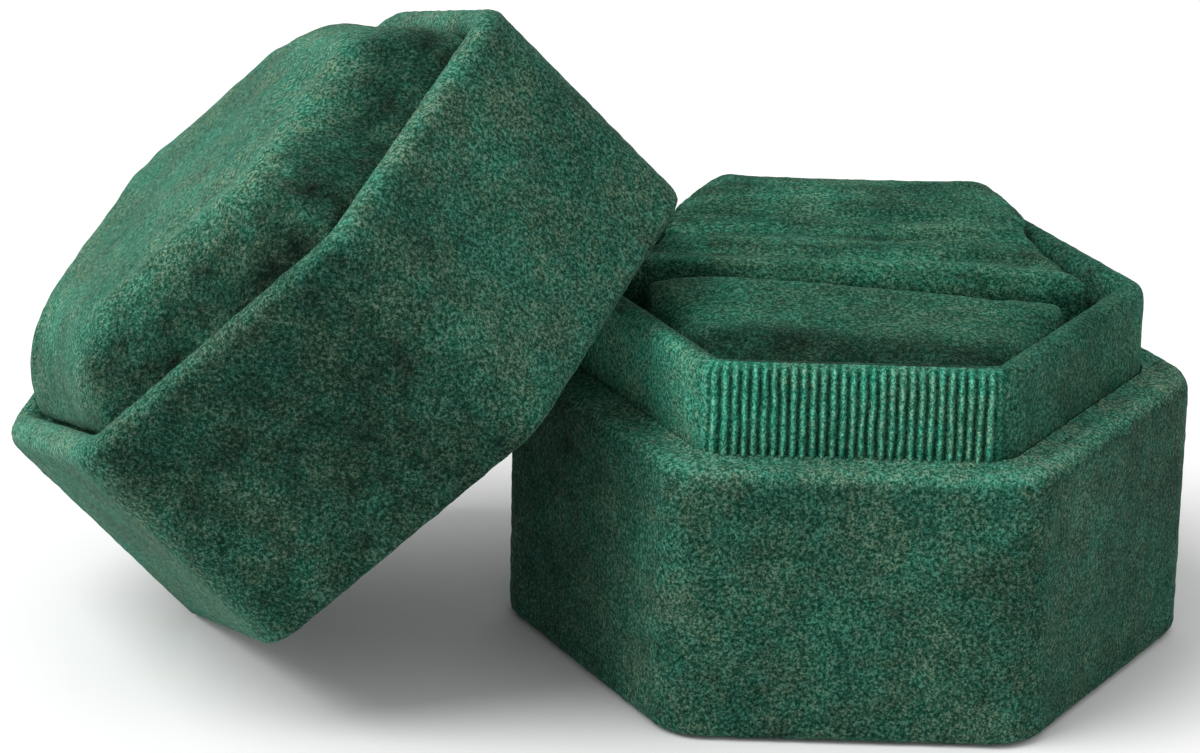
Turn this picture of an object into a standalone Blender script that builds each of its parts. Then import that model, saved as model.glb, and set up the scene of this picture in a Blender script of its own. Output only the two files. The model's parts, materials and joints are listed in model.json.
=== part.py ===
"""Hexagonal velvet ring box, open: a base with a raised collar, a two-part ring cushion in its well,
and the lid leaning over the left corner of the base.

Metres, +Z up. The origin is the centre of the base's underside; the front of the box faces -Y.
"""

import math

import bmesh
import bpy
from mathutils import Matrix, Vector

# ------------------------------------------------------------------ driving dimensions
SIDE = 0.0300                 # side of the outer hexagon; corner to corner is twice this
CORNER_RADIUS = 0.0050        # upright corners of base and lid
GAP = 0.00025                 # between glued or nested layers
VELVET = 0.0007               # pile fabric with its glue
LINING = 0.0006               # thinner velvet inside the lid

BASE_HEIGHT = 0.0244          # underside to ledge
BASE_TOP_ROUND = 0.0016
BASE_TURN_IN = 0.0050         # velvet folded under the bottom edge
WRAP_LIFT = 0.0002            # the fold stands this much above the table
FOOT_THICKNESS = 0.0009
WALL_BOARD = 0.0018
FLOOR_BOARD = 0.0020

COLLAR_APOTHEM = 0.0220       # centre to flat, outer face of the collar's velvet
COLLAR_RADIUS = 0.0030
COLLAR_RISE = 0.0079          # ledge to rim
COLLAR_BOARD = 0.0010
COLLAR_VELVET = 0.0005
COLLAR_ROUND = 0.0008         # roll of the velvet over the rim
COLLAR_ROOT = 0.0064          # velvet glued below the ledge
SPACER = 0.00073
RIB_COUNT = 30
RIB_PITCH = 0.00078
RIB_DEPTH = 0.00030
RIB_BACKING = 0.00022

INSERT_CARD = 0.0012
WELL_CLEARANCE = 0.0005
PAD_BASE = 0.0192
FRONT_PAD_TOP = 0.0323
REAR_PAD_TOP = 0.0330
PAD_ROUND = 0.0020
PAD_RADIUS = 0.0024
PAD_SIDE_GAP = 0.0013         # pad to slanting well wall
PAD_TRAVEL = 0.0012           # each pad gives this much when a ring is pushed in
FRONT_PAD_HALF = 0.01775      # half of the slot edge
REAR_PAD_HALF = 0.0196
SLOT_Y = -0.0015              # middle of the ring slot
SLOT_WIDTH = 0.0014

LID_HEIGHT = 0.0234           # mouth to raised rim
LID_TOP_ROUND = 0.0015
LID_MOUTH_ROUND = 0.0007
LID_BOARD = 0.0013
LID_RECESS = 0.0030           # rim down to the pillow's card
LID_TOP_BOARD = 0.0015
PILLOW_CARD = 0.0008
PILLOW_INSET = 0.0036
PILLOW_RISE = 0.0060          # crown above the raised rim
PILLOW_RADIUS = 0.0080
PILLOW_ROUND = 0.0060
CEILING_BOARD = 0.0012
CEILING_PAD = 0.0020
CEILING_ROUND = 0.0008

# The lid leans to the left: its axis tips from +Z towards -X, then turns a little about +Z.
LID_LEAN = math.radians(-44.1)
LID_HEADING = math.radians(1.8)
LID_TURN = math.radians(-4.6)         # about the lid's own axis
LID_MOUTH_X = -0.0360                 # centre of the mouth
LID_MOUTH_Y = -0.0035

ARC_STEPS = 5
SECTION_STEPS = 3

# ------------------------------------------------------------------ worked-out sizes
OUTER_APOTHEM = SIDE * math.cos(math.pi / 6)
LAYER = VELVET + GAP
RIM_Z = BASE_HEIGHT + COLLAR_RISE
FLOOR_LOW = WRAP_LIFT + VELVET + GAP
FLOOR_HIGH = FLOOR_LOW + FLOOR_BOARD
COLLAR_LAYER = COLLAR_VELVET + GAP
COLLAR_WALL = 2 * COLLAR_LAYER + COLLAR_BOARD
WELL_APOTHEM = COLLAR_APOTHEM - COLLAR_WALL
LID_WALL = LAYER + LID_BOARD + GAP + LINING
LID_SHELF = LID_HEIGHT - LID_RECESS

PAD_APOTHEM = WELL_APOTHEM - PAD_SIDE_GAP
PAD_BACK = WELL_APOTHEM - PAD_TRAVEL - GAP


# ------------------------------------------------------------------ scene and materials
def clear_scene():
    for item in list(bpy.data.objects):
        bpy.data.objects.remove(item)


def new_collection(name):
    collection = bpy.data.collections.new(name)
    bpy.context.scene.collection.children.link(collection)
    return collection


def new_material(name, colour, roughness, metallic=0.0):
    material = bpy.data.materials.new(name)
    material.use_nodes = True
    shader = material.node_tree.nodes["Principled BSDF"]
    shader.inputs["Base Color"].default_value = (*colour, 1.0)
    shader.inputs["Roughness"].default_value = roughness
    shader.inputs["Metallic"].default_value = metallic
    material.diffuse_color = (*colour, 1.0)
    return material


# ------------------------------------------------------------------ outlines
def inset_corners(corners, inset):
    """The corners of a convex outline, each moved inwards so that its sides shift by inset."""
    moved = []
    for index, corner in enumerate(corners):
        here = Vector(corner)
        back = (Vector(corners[index - 1]) - here).normalized()
        ahead = (Vector(corners[(index + 1) % len(corners)]) - here).normalized()
        half_angle = back.angle(ahead) / 2
        moved.append(here + (back + ahead).normalized() * inset / math.sin(half_angle))
    return moved


def rounded(corners, radii, steps):
    """The outline through corners, with each corner turned by an arc of its own radius."""
    points = []
    for index, (corner, radius) in enumerate(zip(corners, radii)):
        here = Vector(corner)
        if radius <= 0:
            points.append(here)
            continue
        back = (Vector(corners[index - 1]) - here).normalized()
        ahead = (Vector(corners[(index + 1) % len(corners)]) - here).normalized()
        half_angle = back.angle(ahead) / 2
        centre = here + (back + ahead).normalized() * radius / math.sin(half_angle)
        start = here + back * radius / math.tan(half_angle) - centre
        turn = math.copysign(math.pi - 2 * half_angle, ahead.cross(back))
        for step in range(steps + 1):
            points.append(centre + Matrix.Rotation(turn * step / steps, 2) @ start)
    return points


def outline(corners, radius, inset=0.0):
    """A plan outline with equal rounded corners, inset all round."""
    kept = max(radius - inset, 0.0003)
    return rounded(inset_corners(corners, inset), [kept] * len(corners), ARC_STEPS)


def pad_corners(slot_edge, half_width):
    """Plan of the pad behind the slot; a pad in front of it is this one mirrored."""
    slant = math.cos(math.pi / 6)
    shoulder = 2 * (PAD_APOTHEM - slant * half_width)
    back_half = (PAD_APOTHEM - PAD_BACK / 2) / slant
    right = [(half_width, slot_edge), (half_width, shoulder), (back_half, PAD_BACK)]
    left = [(-x, y) for x, y in reversed(right)]
    return right + left


def hexagon(apothem):
    reach = apothem / math.cos(math.pi / 6)
    angles = [math.radians(60 * side) for side in range(6)]
    return [(reach * math.cos(angle), reach * math.sin(angle)) for angle in angles]


# ------------------------------------------------------------------ solids
def closed_curve(name, points):
    curve = bpy.data.curves.new(name, "CURVE")
    curve.dimensions = "2D"
    spline = curve.splines.new("POLY")
    spline.points.add(len(points) - 1)
    for spline_point, point in zip(spline.points, points):
        spline_point.co = (point[0], point[1], 0.0, 1.0)
    spline.use_cyclic_u = True
    return curve


def mesh_from_curve(name, curve, height=0.0):
    """The curve's surface as a welded mesh, moved up to height."""
    maker = bpy.data.objects.new(name + "_curve", curve)
    bpy.context.scene.collection.objects.link(maker)
    graph = bpy.context.evaluated_depsgraph_get()
    mesh = bpy.data.meshes.new_from_object(maker.evaluated_get(graph))
    bpy.data.objects.remove(maker)
    mesh.name = name
    mesh.transform(Matrix.Translation((0, 0, height)))
    shape = bmesh.new()
    shape.from_mesh(mesh)
    bmesh.ops.remove_doubles(shape, verts=shape.verts, dist=0.000001)
    bmesh.ops.recalc_face_normals(shape, faces=shape.faces)
    shape.to_mesh(mesh)
    shape.free()
    return mesh


def add_part(name, mesh, material, group, parent=None):
    mesh.materials.clear()
    mesh.materials.append(material)
    part = bpy.data.objects.new(name, mesh)
    part.parent = parent
    group.objects.link(part)
    return part


def band_mesh(name, plan, section, radii):
    """A ring: a closed section of (inset, height) corners carried round the plan outline."""
    profile = closed_curve(name + "_profile", rounded(section, radii, SECTION_STEPS))
    profile_object = bpy.data.objects.new(name + "_profile", profile)
    profile_object.hide_render = True
    profile_object.display_type = "WIRE"
    guides.objects.link(profile_object)
    path = closed_curve(name + "_path", plan)
    path.fill_mode = "NONE"
    path.bevel_mode = "OBJECT"
    path.bevel_object = profile_object
    return mesh_from_curve(name, path)


def tube_section(inset, thickness, low, high):
    """A plain upright band, starting at its outer foot."""
    inner = inset + thickness
    return [(inset, low), (inset, high), (inner, high), (inner, low)]


def plate_mesh(name, plan, low, high):
    """A flat plate between two heights, with one face on top and one below."""
    curve = closed_curve(name, plan)
    curve.fill_mode = "BOTH"
    curve.extrude = (high - low) / 2
    mesh = mesh_from_curve(name, curve, (low + high) / 2)
    shape = bmesh.new()
    shape.from_mesh(mesh)
    bmesh.ops.dissolve_limit(shape, angle_limit=math.radians(0.5), verts=shape.verts, edges=shape.edges)
    shape.to_mesh(mesh)
    shape.free()
    return mesh


def round_edges(part, width, segments=3):
    bevel = part.modifiers.new("Rounded edge", "BEVEL")
    bevel.width = width
    bevel.segments = segments
    bevel.limit_method = "ANGLE"
    bevel.angle_limit = math.radians(60)
    bevel.use_clamp_overlap = False


def padded_parts(name, corners, radius, low, high, edge, group, parent):
    """A foam block and the velvet cover over it, which is open underneath."""
    cover_mesh = plate_mesh(name + "_cover", outline(corners, radius), low, high)
    shape = bmesh.new()
    shape.from_mesh(cover_mesh)
    under = [face for face in shape.faces if face.normal.z < -0.9]
    bmesh.ops.delete(shape, geom=under, context="FACES")
    shape.to_mesh(cover_mesh)
    shape.free()
    cover = add_part(name + "_cover", cover_mesh, velvet, group, parent)
    round_edges(cover, edge, 4)
    skin = cover.modifiers.new("Velvet", "SOLIDIFY")
    skin.thickness = VELVET
    skin.offset = -1.0
    skin.use_even_offset = True
    block = outline(corners, radius, LAYER)
    foam_mesh = plate_mesh(name + "_foam", block, low, high - LAYER)
    core = add_part(name + "_foam", foam_mesh, foam, group, parent)
    top_edges_only(core, edge - LAYER)
    return cover, core


def top_edges_only(part, width):
    """Round the rim of the top face and leave the foot square."""
    top = max(vertex.co.z for vertex in part.data.vertices)
    weights = part.data.attributes.new("bevel_weight_edge", "FLOAT", "EDGE")
    for edge in part.data.edges:
        ends = [part.data.vertices[index].co.z for index in edge.vertices]
        weights.data[edge.index].value = float(min(ends) > top - 0.000001)
    bevel = part.modifiers.new("Rounded top", "BEVEL")
    bevel.width = width
    bevel.segments = 4
    bevel.limit_method = "WEIGHT"
    bevel.use_clamp_overlap = False


# ------------------------------------------------------------------ base
def build_base(group):
    outer = outline(hexagon(OUTER_APOTHEM), CORNER_RADIUS)

    # Velvet: folded under the bottom edge, up the outside and over on to the ledge.
    ledge = OUTER_APOTHEM - COLLAR_APOTHEM - GAP
    low = WRAP_LIFT
    high = BASE_HEIGHT
    wrap = [
        (0, low), (0, high), (ledge, high), (ledge, high - VELVET),
        (VELVET, high - VELVET), (VELVET, low + VELVET),
        (BASE_TURN_IN, low + VELVET), (BASE_TURN_IN, low),
    ]
    radii = [0.0008, BASE_TOP_ROUND, 0.0003, 0, BASE_TOP_ROUND - VELVET, 0.0001, 0, 0]
    add_part("base_outer_wrap", band_mesh("base_outer_wrap", outer, wrap, radii), velvet, group)

    board_top = BASE_HEIGHT - LAYER
    board = tube_section(LAYER, WALL_BOARD, FLOOR_LOW, board_top)
    board_round = [0, BASE_TOP_ROUND - LAYER, 0, 0]
    add_part("base_wall_board", band_mesh("base_wall_board", outer, board, board_round), card, group)

    spacer_inset = LAYER + WALL_BOARD + GAP
    spacer = tube_section(spacer_inset, SPACER, FLOOR_HIGH + GAP, board_top)
    add_part("base_spacer_strip", band_mesh("base_spacer_strip", outer, spacer, [0] * 4), card, group)

    floor_plan = outline(hexagon(OUTER_APOTHEM), CORNER_RADIUS, spacer_inset)
    floor_mesh = plate_mesh("base_floor_board", floor_plan, FLOOR_LOW, FLOOR_HIGH)
    add_part("base_floor_board", floor_mesh, card, group)

    foot_plan = outline(hexagon(OUTER_APOTHEM), CORNER_RADIUS, BASE_TURN_IN + GAP)
    add_part("base_foot_pad", plate_mesh("base_foot_pad", foot_plan, 0, FOOT_THICKNESS), felt, group)


def build_collar(group):
    plan = outline(hexagon(COLLAR_APOTHEM), COLLAR_RADIUS)
    root = BASE_HEIGHT - COLLAR_ROOT
    inner = COLLAR_WALL

    wrap = [
        (0, root), (0, RIM_Z), (inner, RIM_Z), (inner, root),
        (inner - COLLAR_VELVET, root), (inner - COLLAR_VELVET, RIM_Z - COLLAR_VELVET),
        (COLLAR_VELVET, RIM_Z - COLLAR_VELVET), (COLLAR_VELVET, root),
    ]
    fold = COLLAR_ROUND - COLLAR_VELVET
    radii = [0, COLLAR_ROUND, COLLAR_ROUND, 0, 0, fold, fold, 0]
    add_part("collar_wrap", band_mesh("collar_wrap", plan, wrap, radii), velvet, group)

    board = tube_section(COLLAR_LAYER, COLLAR_BOARD, FLOOR_HIGH + GAP, RIM_Z - COLLAR_LAYER)
    board_round = [0, fold, fold, 0]
    add_part("collar_board", band_mesh("collar_board", plan, board, board_round), card, group)

    # Corded panel on the front face: a row of half-round ribs on a flat backing, cut square.
    back = -(COLLAR_APOTHEM + GAP)
    face = back - RIB_BACKING
    half = RIB_COUNT * RIB_PITCH / 2
    points = [(half, back), (-half, back)]
    steps = 6
    for rib in range(RIB_COUNT):
        start = -half + rib * RIB_PITCH
        for step in range(steps):
            along = step / steps
            points.append((start + along * RIB_PITCH, face - RIB_DEPTH * math.sin(math.pi * along)))
    points.append((half, face))
    low = BASE_HEIGHT + GAP
    high = RIM_Z - COLLAR_ROUND / 2
    panel = plate_mesh("collar_ribbed_panel", points, low, high)
    add_part("collar_ribbed_panel", panel, ribbed_velvet, group)


# ------------------------------------------------------------------ ring cushion
def build_insert(group):
    well = hexagon(WELL_APOTHEM)
    radius = COLLAR_RADIUS - COLLAR_WALL
    board_side = hexagon(COLLAR_APOTHEM - COLLAR_LAYER - COLLAR_BOARD)
    card_low = FLOOR_HIGH + GAP
    card_high = card_low + INSERT_CARD
    card_plan = outline(board_side, COLLAR_RADIUS, WELL_CLEARANCE)
    add_part("insert_card", plate_mesh("insert_card", card_plan, card_low, card_high), card, group)

    foam_top = BASE_HEIGHT - COLLAR_ROOT - GAP
    foam_low = card_high + GAP
    add_part("insert_foam", plate_mesh("insert_foam", card_plan, foam_low, foam_top), foam, group)

    cloth_plan = outline(well, radius, WELL_CLEARANCE)
    cloth_low = foam_top + GAP
    cloth = plate_mesh("well_floor_velvet", cloth_plan, cloth_low, cloth_low + VELVET)
    add_part("well_floor_velvet", cloth, velvet, group)


def build_pads(group):
    front = bpy.data.objects.new("front_pad_slide", None)
    rear = bpy.data.objects.new("rear_pad_slide", None)
    for slide in (front, rear):
        guides.objects.link(slide)
    behind = pad_corners(SLOT_Y + SLOT_WIDTH / 2, REAR_PAD_HALF)
    before = pad_corners(-SLOT_Y + SLOT_WIDTH / 2, FRONT_PAD_HALF)
    before = [(x, -y) for x, y in reversed(before)]
    padded_parts("front_pad", before, PAD_RADIUS, PAD_BASE, FRONT_PAD_TOP, PAD_ROUND, group, front)
    padded_parts("rear_pad", behind, PAD_RADIUS, PAD_BASE, REAR_PAD_TOP, PAD_ROUND, group, rear)


# ------------------------------------------------------------------ lid
def lid_placement():
    """Lid frame: origin at the middle of the mouth, +Z out through the top."""
    turn = Matrix.Rotation(LID_TURN, 4, "Z")
    lean = Matrix.Rotation(LID_LEAN, 4, "Y")
    heading = Matrix.Rotation(LID_HEADING, 4, "Z")
    attitude = heading @ lean @ turn
    mouth = outline(hexagon(OUTER_APOTHEM), CORNER_RADIUS)
    lowest = min((attitude @ Vector((x, y, 0))).z for x, y in mouth)
    return Matrix.Translation((LID_MOUTH_X, LID_MOUTH_Y, -lowest)) @ attitude


def build_lid(group):
    axis = bpy.data.objects.new("lid_axis", None)
    axis.matrix_world = lid_placement()
    guides.objects.link(axis)
    hexagonal = hexagon(OUTER_APOTHEM)
    outer = outline(hexagonal, CORNER_RADIUS)

    # Velvet: round the mouth, up the outside, over the raised rim and down to the pillow's card.
    top = LID_HEIGHT
    rim_inner = LID_WALL - LINING
    wrap = [
        (0, 0), (0, top), (LID_WALL, top), (LID_WALL, LID_SHELF), (rim_inner, LID_SHELF),
        (rim_inner, top - VELVET), (VELVET, top - VELVET), (VELVET, VELVET),
        (LID_WALL, VELVET), (LID_WALL, 0),
    ]
    radii = [LID_MOUTH_ROUND, LID_TOP_ROUND, 0.0010, 0, 0, 0.0003, LID_TOP_ROUND - VELVET, 0, 0, 0.0004]
    add_part("lid_outer_wrap", band_mesh("lid_outer_wrap", outer, wrap, radii), velvet, group, axis)

    board = tube_section(LAYER, LID_BOARD, LAYER, top - LAYER)
    board_round = [0, LID_TOP_ROUND - LAYER, 0.0002, 0]
    add_part("lid_wall_board", band_mesh("lid_wall_board", outer, board, board_round), card, group, axis)

    shelf_high = LID_SHELF - GAP
    shelf_low = shelf_high - LID_TOP_BOARD
    shelf_plan = outline(hexagonal, CORNER_RADIUS, LID_WALL - LINING)
    shelf_mesh = plate_mesh("lid_top_board", shelf_plan, shelf_low, shelf_high)
    add_part("lid_top_board", shelf_mesh, card, group, axis)

    lining = tube_section(LID_WALL - LINING, LINING, LAYER, shelf_low - GAP)
    add_part("lid_lining", band_mesh("lid_lining", outer, lining, [0] * 4), lining_velvet, group, axis)

    # Puffed pillow in the recess of the top.
    card_low = LID_SHELF
    card_high = card_low + PILLOW_CARD
    inner_plan = outline(hexagonal, CORNER_RADIUS, LID_WALL + GAP)
    card_mesh = plate_mesh("lid_pillow_card", inner_plan, card_low, card_high)
    add_part("lid_pillow_card", card_mesh, card, group, axis)
    pillow_corners = inset_corners(hexagonal, PILLOW_INSET)
    padded_parts("lid_pillow", pillow_corners, PILLOW_RADIUS, card_high + GAP, top + PILLOW_RISE,
                 PILLOW_ROUND, group, axis)

    # Padded ceiling inside.
    ceiling_high = shelf_low - GAP
    ceiling_low = ceiling_high - CEILING_BOARD
    board_mesh = plate_mesh("lid_ceiling_board", inner_plan, ceiling_low, ceiling_high)
    add_part("lid_ceiling_board", board_mesh, card, group, axis)
    pad_high = ceiling_low - GAP
    pad_mesh = plate_mesh("lid_ceiling_pad", inner_plan, pad_high - CEILING_PAD, pad_high)
    pad = add_part("lid_ceiling_pad", pad_mesh, lining_velvet, group, axis)
    round_edges(pad, CEILING_ROUND)


# ------------------------------------------------------------------ build
clear_scene()
box = new_collection("ring_box")
guides = new_collection("guides")
velvet = new_material("green_velvet", (0.012, 0.085, 0.052), 0.9)
ribbed_velvet = new_material("green_corded_velvet", (0.020, 0.150, 0.095), 0.85)
lining_velvet = new_material("green_lining", (0.010, 0.070, 0.045), 0.9)
card = new_material("greyboard", (0.42, 0.38, 0.33), 0.85)
foam = new_material("foam", (0.75, 0.74, 0.70), 0.95)
felt = new_material("dark_felt", (0.010, 0.030, 0.022), 0.95)
build_base(box)
build_collar(box)
build_insert(box)
build_pads(box)
build_lid(box)
for part in box.objects:
    part.data.shade_smooth()
    part.data.set_sharp_from_angle(angle=math.radians(35))
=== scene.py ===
"""Looks of the hexagonal velvet ring box: pile velvet, corded panel, soft ring cushion and puffed lid.

Metres, +Z up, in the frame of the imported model. The front of the box faces -Y.
"""

import json
import math

import bmesh
import bpy
import numpy as np
from mathutils import Matrix, Vector, noise


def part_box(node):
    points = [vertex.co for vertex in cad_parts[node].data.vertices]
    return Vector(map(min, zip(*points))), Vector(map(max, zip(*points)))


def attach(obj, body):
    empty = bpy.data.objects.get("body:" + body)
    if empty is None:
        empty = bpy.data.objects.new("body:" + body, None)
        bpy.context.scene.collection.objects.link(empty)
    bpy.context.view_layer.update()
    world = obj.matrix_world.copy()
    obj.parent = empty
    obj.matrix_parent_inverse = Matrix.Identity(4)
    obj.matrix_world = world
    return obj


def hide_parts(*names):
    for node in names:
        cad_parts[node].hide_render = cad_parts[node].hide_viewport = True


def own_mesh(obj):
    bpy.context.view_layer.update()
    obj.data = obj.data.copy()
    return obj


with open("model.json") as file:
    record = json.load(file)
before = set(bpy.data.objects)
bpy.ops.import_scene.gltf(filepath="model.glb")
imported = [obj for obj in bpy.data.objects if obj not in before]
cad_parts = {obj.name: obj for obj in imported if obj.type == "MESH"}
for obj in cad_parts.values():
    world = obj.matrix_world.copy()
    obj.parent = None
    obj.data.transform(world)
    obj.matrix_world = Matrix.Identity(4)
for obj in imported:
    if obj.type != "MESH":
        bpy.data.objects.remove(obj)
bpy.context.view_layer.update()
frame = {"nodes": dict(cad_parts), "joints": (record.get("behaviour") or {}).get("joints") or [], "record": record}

# ------------------------------------------------------------------ sizes
MM = 0.001
COS30 = math.cos(math.pi / 6)
TAN30 = math.tan(math.pi / 6)

BASE_LOW, BASE_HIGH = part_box("base_outer_wrap")
COLLAR_LOW, COLLAR_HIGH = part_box("collar_wrap")
LEDGE_Z = BASE_HIGH.z
RIM_Z = COLLAR_HIGH.z
OUTER_APOTHEM = BASE_HIGH.y
COLLAR_APOTHEM = COLLAR_HIGH.y
BASE_CORNER = 5.0 * MM
COLLAR_CORNER = 3.0 * MM
VELVET = 0.7 * MM
COLLAR_WALL = 2.5 * MM
COLLAR_VELVET = 0.5 * MM
LID_HEIGHT = 23.4 * MM
LID_WALL = 3.1 * MM
LID_VELVET = 0.6 * MM
LID_SHELF = 20.4 * MM
LID_TURN = math.radians(-4.6)
CEILING_BOARD_MIDDLE = 17.8 * MM      # height of the ceiling board's middle in the lid
CEILING_PAD_LOW = 14.95 * MM
CEILING_PAD_HIGH = 16.95 * MM
WEAVE = 0.34 * MM                     # grid of the visible velvet
HIDDEN = 2.5 * MM                     # grid where nothing is seen


# ------------------------------------------------------------------ lid frame
def lid_frame():
    """Placement of the lid: origin in the middle of its mouth, +Z out through its top."""
    rise = Vector(next(joint["axis"] for joint in frame["joints"] if joint["name"] == "lid_lift"))
    rise.normalize()
    level = rise.cross(Vector((0, 0, 1))).normalized()
    attitude = Matrix((level.cross(rise), level, rise)).transposed().to_4x4()
    low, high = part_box("lid_ceiling_board")
    origin = (low + high) / 2 - rise * CEILING_BOARD_MIDDLE
    return Matrix.Translation(origin) @ attitude @ Matrix.Rotation(LID_TURN, 4, "Z")


LID = lid_frame()
UPRIGHT = Matrix.Identity(4)


# ------------------------------------------------------------------ shader maths
class Value:
    """A socket that takes part in Python arithmetic; each operator adds a Math node."""

    def __init__(self, finish, socket):
        self.finish = finish
        self.socket = socket

    def maths(self, operation, first, second):
        return self.finish.node("ShaderNodeMath", {"operation": operation}, {0: first, 1: second})

    def __add__(self, other):
        return self.maths("ADD", self, other)

    def __radd__(self, other):
        return self.maths("ADD", other, self)

    def __rsub__(self, other):
        return self.maths("SUBTRACT", other, self)

    def __mul__(self, other):
        return self.maths("MULTIPLY", self, other)

    def __rmul__(self, other):
        return self.maths("MULTIPLY", other, self)


class Finish:
    """One material, with its Principled shader and the nodes that feed it."""

    def __init__(self, name, **constants):
        self.material = bpy.data.materials.new(name)
        self.material.use_nodes = True
        self.tree = self.material.node_tree
        self.shader = self.tree.nodes["Principled BSDF"]
        for socket, value in constants.items():
            self.shader.inputs[socket.replace("_", " ")].default_value = value

    def node(self, kind, settings, inputs, output=0):
        made = self.tree.nodes.new(kind)
        stops = settings.pop("stops", None)
        for key, value in settings.items():
            setattr(made, key, value)
        if stops:
            ramp = made.color_ramp
            while len(ramp.elements) < len(stops):
                ramp.elements.new(1.0)
            for element, (position, colour) in zip(ramp.elements, stops):
                element.position = position
                element.color = (*colour, 1.0)
        for key, value in inputs.items():
            self.join(made.inputs[key], value)
        return Value(self, made.outputs[output])

    def join(self, socket, value):
        if isinstance(value, Value):
            self.tree.links.new(value.socket, socket)
        else:
            socket.default_value = value

    def feed(self, socket, value):
        self.join(self.shader.inputs[socket], value)

    def place(self):
        return self.node("ShaderNodeTexCoord", {}, {}, "Object")

    def noise(self, place, size, detail, rough, stretch=(1, 1, 1)):
        """Noise whose features are about size across."""
        scaled = self.node("ShaderNodeMapping", {}, {"Vector": place, "Scale": stretch})
        inputs = {"Vector": scaled, "Scale": 1 / size, "Detail": detail, "Roughness": rough}
        return self.node("ShaderNodeTexNoise", {}, inputs, "Fac")

    def ramp(self, amount, stops):
        """Colour read from a ramp of (position, colour) stops."""
        return self.node("ShaderNodeValToRGB", {"stops": stops}, {"Fac": amount})

    def multiply(self, first, second):
        settings = {"data_type": "RGBA", "blend_type": "MULTIPLY"}
        return self.node("ShaderNodeMix", settings, {0: 1.0, 6: first, 7: second}, 2)

    def darkened(self, colour, share):
        inputs = {0: colour, "Scale": share}
        return self.node("ShaderNodeVectorMath", {"operation": "SCALE"}, inputs, "Vector")

    def relief(self, height, distance):
        inputs = {"Height": height, "Distance": distance, "Strength": 1.0}
        self.feed("Normal", self.node("ShaderNodeBump", {}, inputs, "Normal"))


def opaque(colour):
    return (*colour, 1.0)


# ------------------------------------------------------------------ finishes
TUFT = 0.31 * MM                      # size of a tuft of pile
FIBRE = 0.16 * MM
PILE_RELIEF = 0.20 * MM
PILE_HUES = [(0.40, (0.60, 1.03, 0.99)), (0.50, (0.87, 1, 0.95)), (0.60, (1.22, 0.98, 0.90))]
FELT_TONES = [(0.35, (0.006, 0.022, 0.016)), (0.65, (0.022, 0.060, 0.046))]
BOARD_TONES = [(0.35, (0.30, 0.27, 0.23)), (0.65, (0.47, 0.43, 0.38))]
FOAM_TONES = [(0.05, (0.32, 0.31, 0.27)), (0.45, (0.74, 0.72, 0.66))]


def velvet_finish(name, deep, mid, light, tuft=TUFT, drift=1.0, lift=0.03):
    """Cut-pile velvet: speckled tufts, slow random drifts of tone, painted light and shade from a per-point
    attribute, and edge sheen.

    drift is how strongly the tone wanders, and lift how far the painted light and shade shift the tufts towards
    lighter or darker ones.
    """
    finish = Finish(name, Sheen_Weight=0.12, Sheen_Roughness=0.38, Sheen_Tint=opaque((0.35, 0.75, 0.55)),
                    Specular_IOR_Level=0.08)
    place = finish.place()
    # per-point painted light and shade, stored on each piece
    painted_light = finish.node("ShaderNodeAttribute", {"attribute_name": "painted_light"}, {}, "Fac")
    tufts = finish.noise(place, tuft, 2.0, 0.65)
    fibres = finish.noise(place, FIBRE, 1.0, 0.6)
    shade = 0.62 * tufts + 0.38 * fibres
    speckle = finish.ramp(shade + lift * painted_light, [(0.38, deep), (0.50, mid), (0.63, light)])
    hues = 0.5 * finish.noise(place, 0.9 * MM, 2.0, 0.5) + 0.5 * finish.noise(place, 5.0 * MM, 2.0, 0.5)
    tint = finish.ramp(hues, PILE_HUES)
    drifts = finish.noise(place, 3.0 * MM, 3.0, 0.6)
    broad = finish.noise(place, 11 * MM, 2.0, 0.5)
    # the colour is scaled by the painted light and shade of each point and by random drifts of tone
    tone_and_painted_light = painted_light + drift * (1.3 * drifts + 1.1 * broad) + (1.0 - 1.2 * drift)
    tinted = finish.multiply(speckle, tint)
    finish.feed("Base Color", finish.darkened(tinted, tone_and_painted_light))
    finish.feed("Roughness", 0.95 - 0.15 * fibres)
    finish.relief(shade, PILE_RELIEF)
    return finish.material


def board_finish(name):
    """Grey paperboard: flecks of fibre in a warm grey."""
    finish = Finish(name, Specular_IOR_Level=0.3)
    place = finish.place()
    flecks = finish.noise(place, 0.5 * MM, 3.0, 0.7, (1, 1, 4))
    finish.feed("Base Color", finish.ramp(flecks, BOARD_TONES))
    finish.feed("Roughness", 0.78 + 0.15 * flecks)
    finish.relief(flecks, 0.05 * MM)
    return finish.material


def foam_finish(name):
    """Open-cell foam: small dark pores in cream."""
    finish = Finish(name, Specular_IOR_Level=0.2, Roughness=0.95)
    place = finish.place()
    pores = finish.node("ShaderNodeTexVoronoi", {}, {"Vector": place, "Scale": 1 / (0.6 * MM)}, "Distance")
    finish.feed("Base Color", finish.ramp(pores, FOAM_TONES))
    finish.relief(pores, 0.15 * MM)
    return finish.material


def felt_finish(name):
    """Pressed felt: matted fibres in two directions."""
    finish = Finish(name, Sheen_Weight=0.25, Sheen_Tint=opaque((0.4, 0.6, 0.5)), Specular_IOR_Level=0.1)
    place = finish.place()
    along = finish.noise(place, 0.5 * MM, 3.0, 0.7, (0.3, 1, 1))
    across = finish.noise(place, 0.5 * MM, 3.0, 0.7, (1, 0.3, 1))
    mat = along * 0.5 + across * 0.5
    finish.feed("Base Color", finish.ramp(mat, FELT_TONES))
    finish.feed("Roughness", 0.9 + 0.08 * mat)
    finish.relief(mat, 0.12 * MM)
    return finish.material


# ------------------------------------------------------------------ outlines and sections
def track_counts(apothem, corner, step):
    """Columns along each flat and round each corner of a hexagon, about one step apart."""
    return round(2 * (apothem - corner) * TAN30 / step), max(4, round(corner * math.pi / 3 / step))


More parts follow.
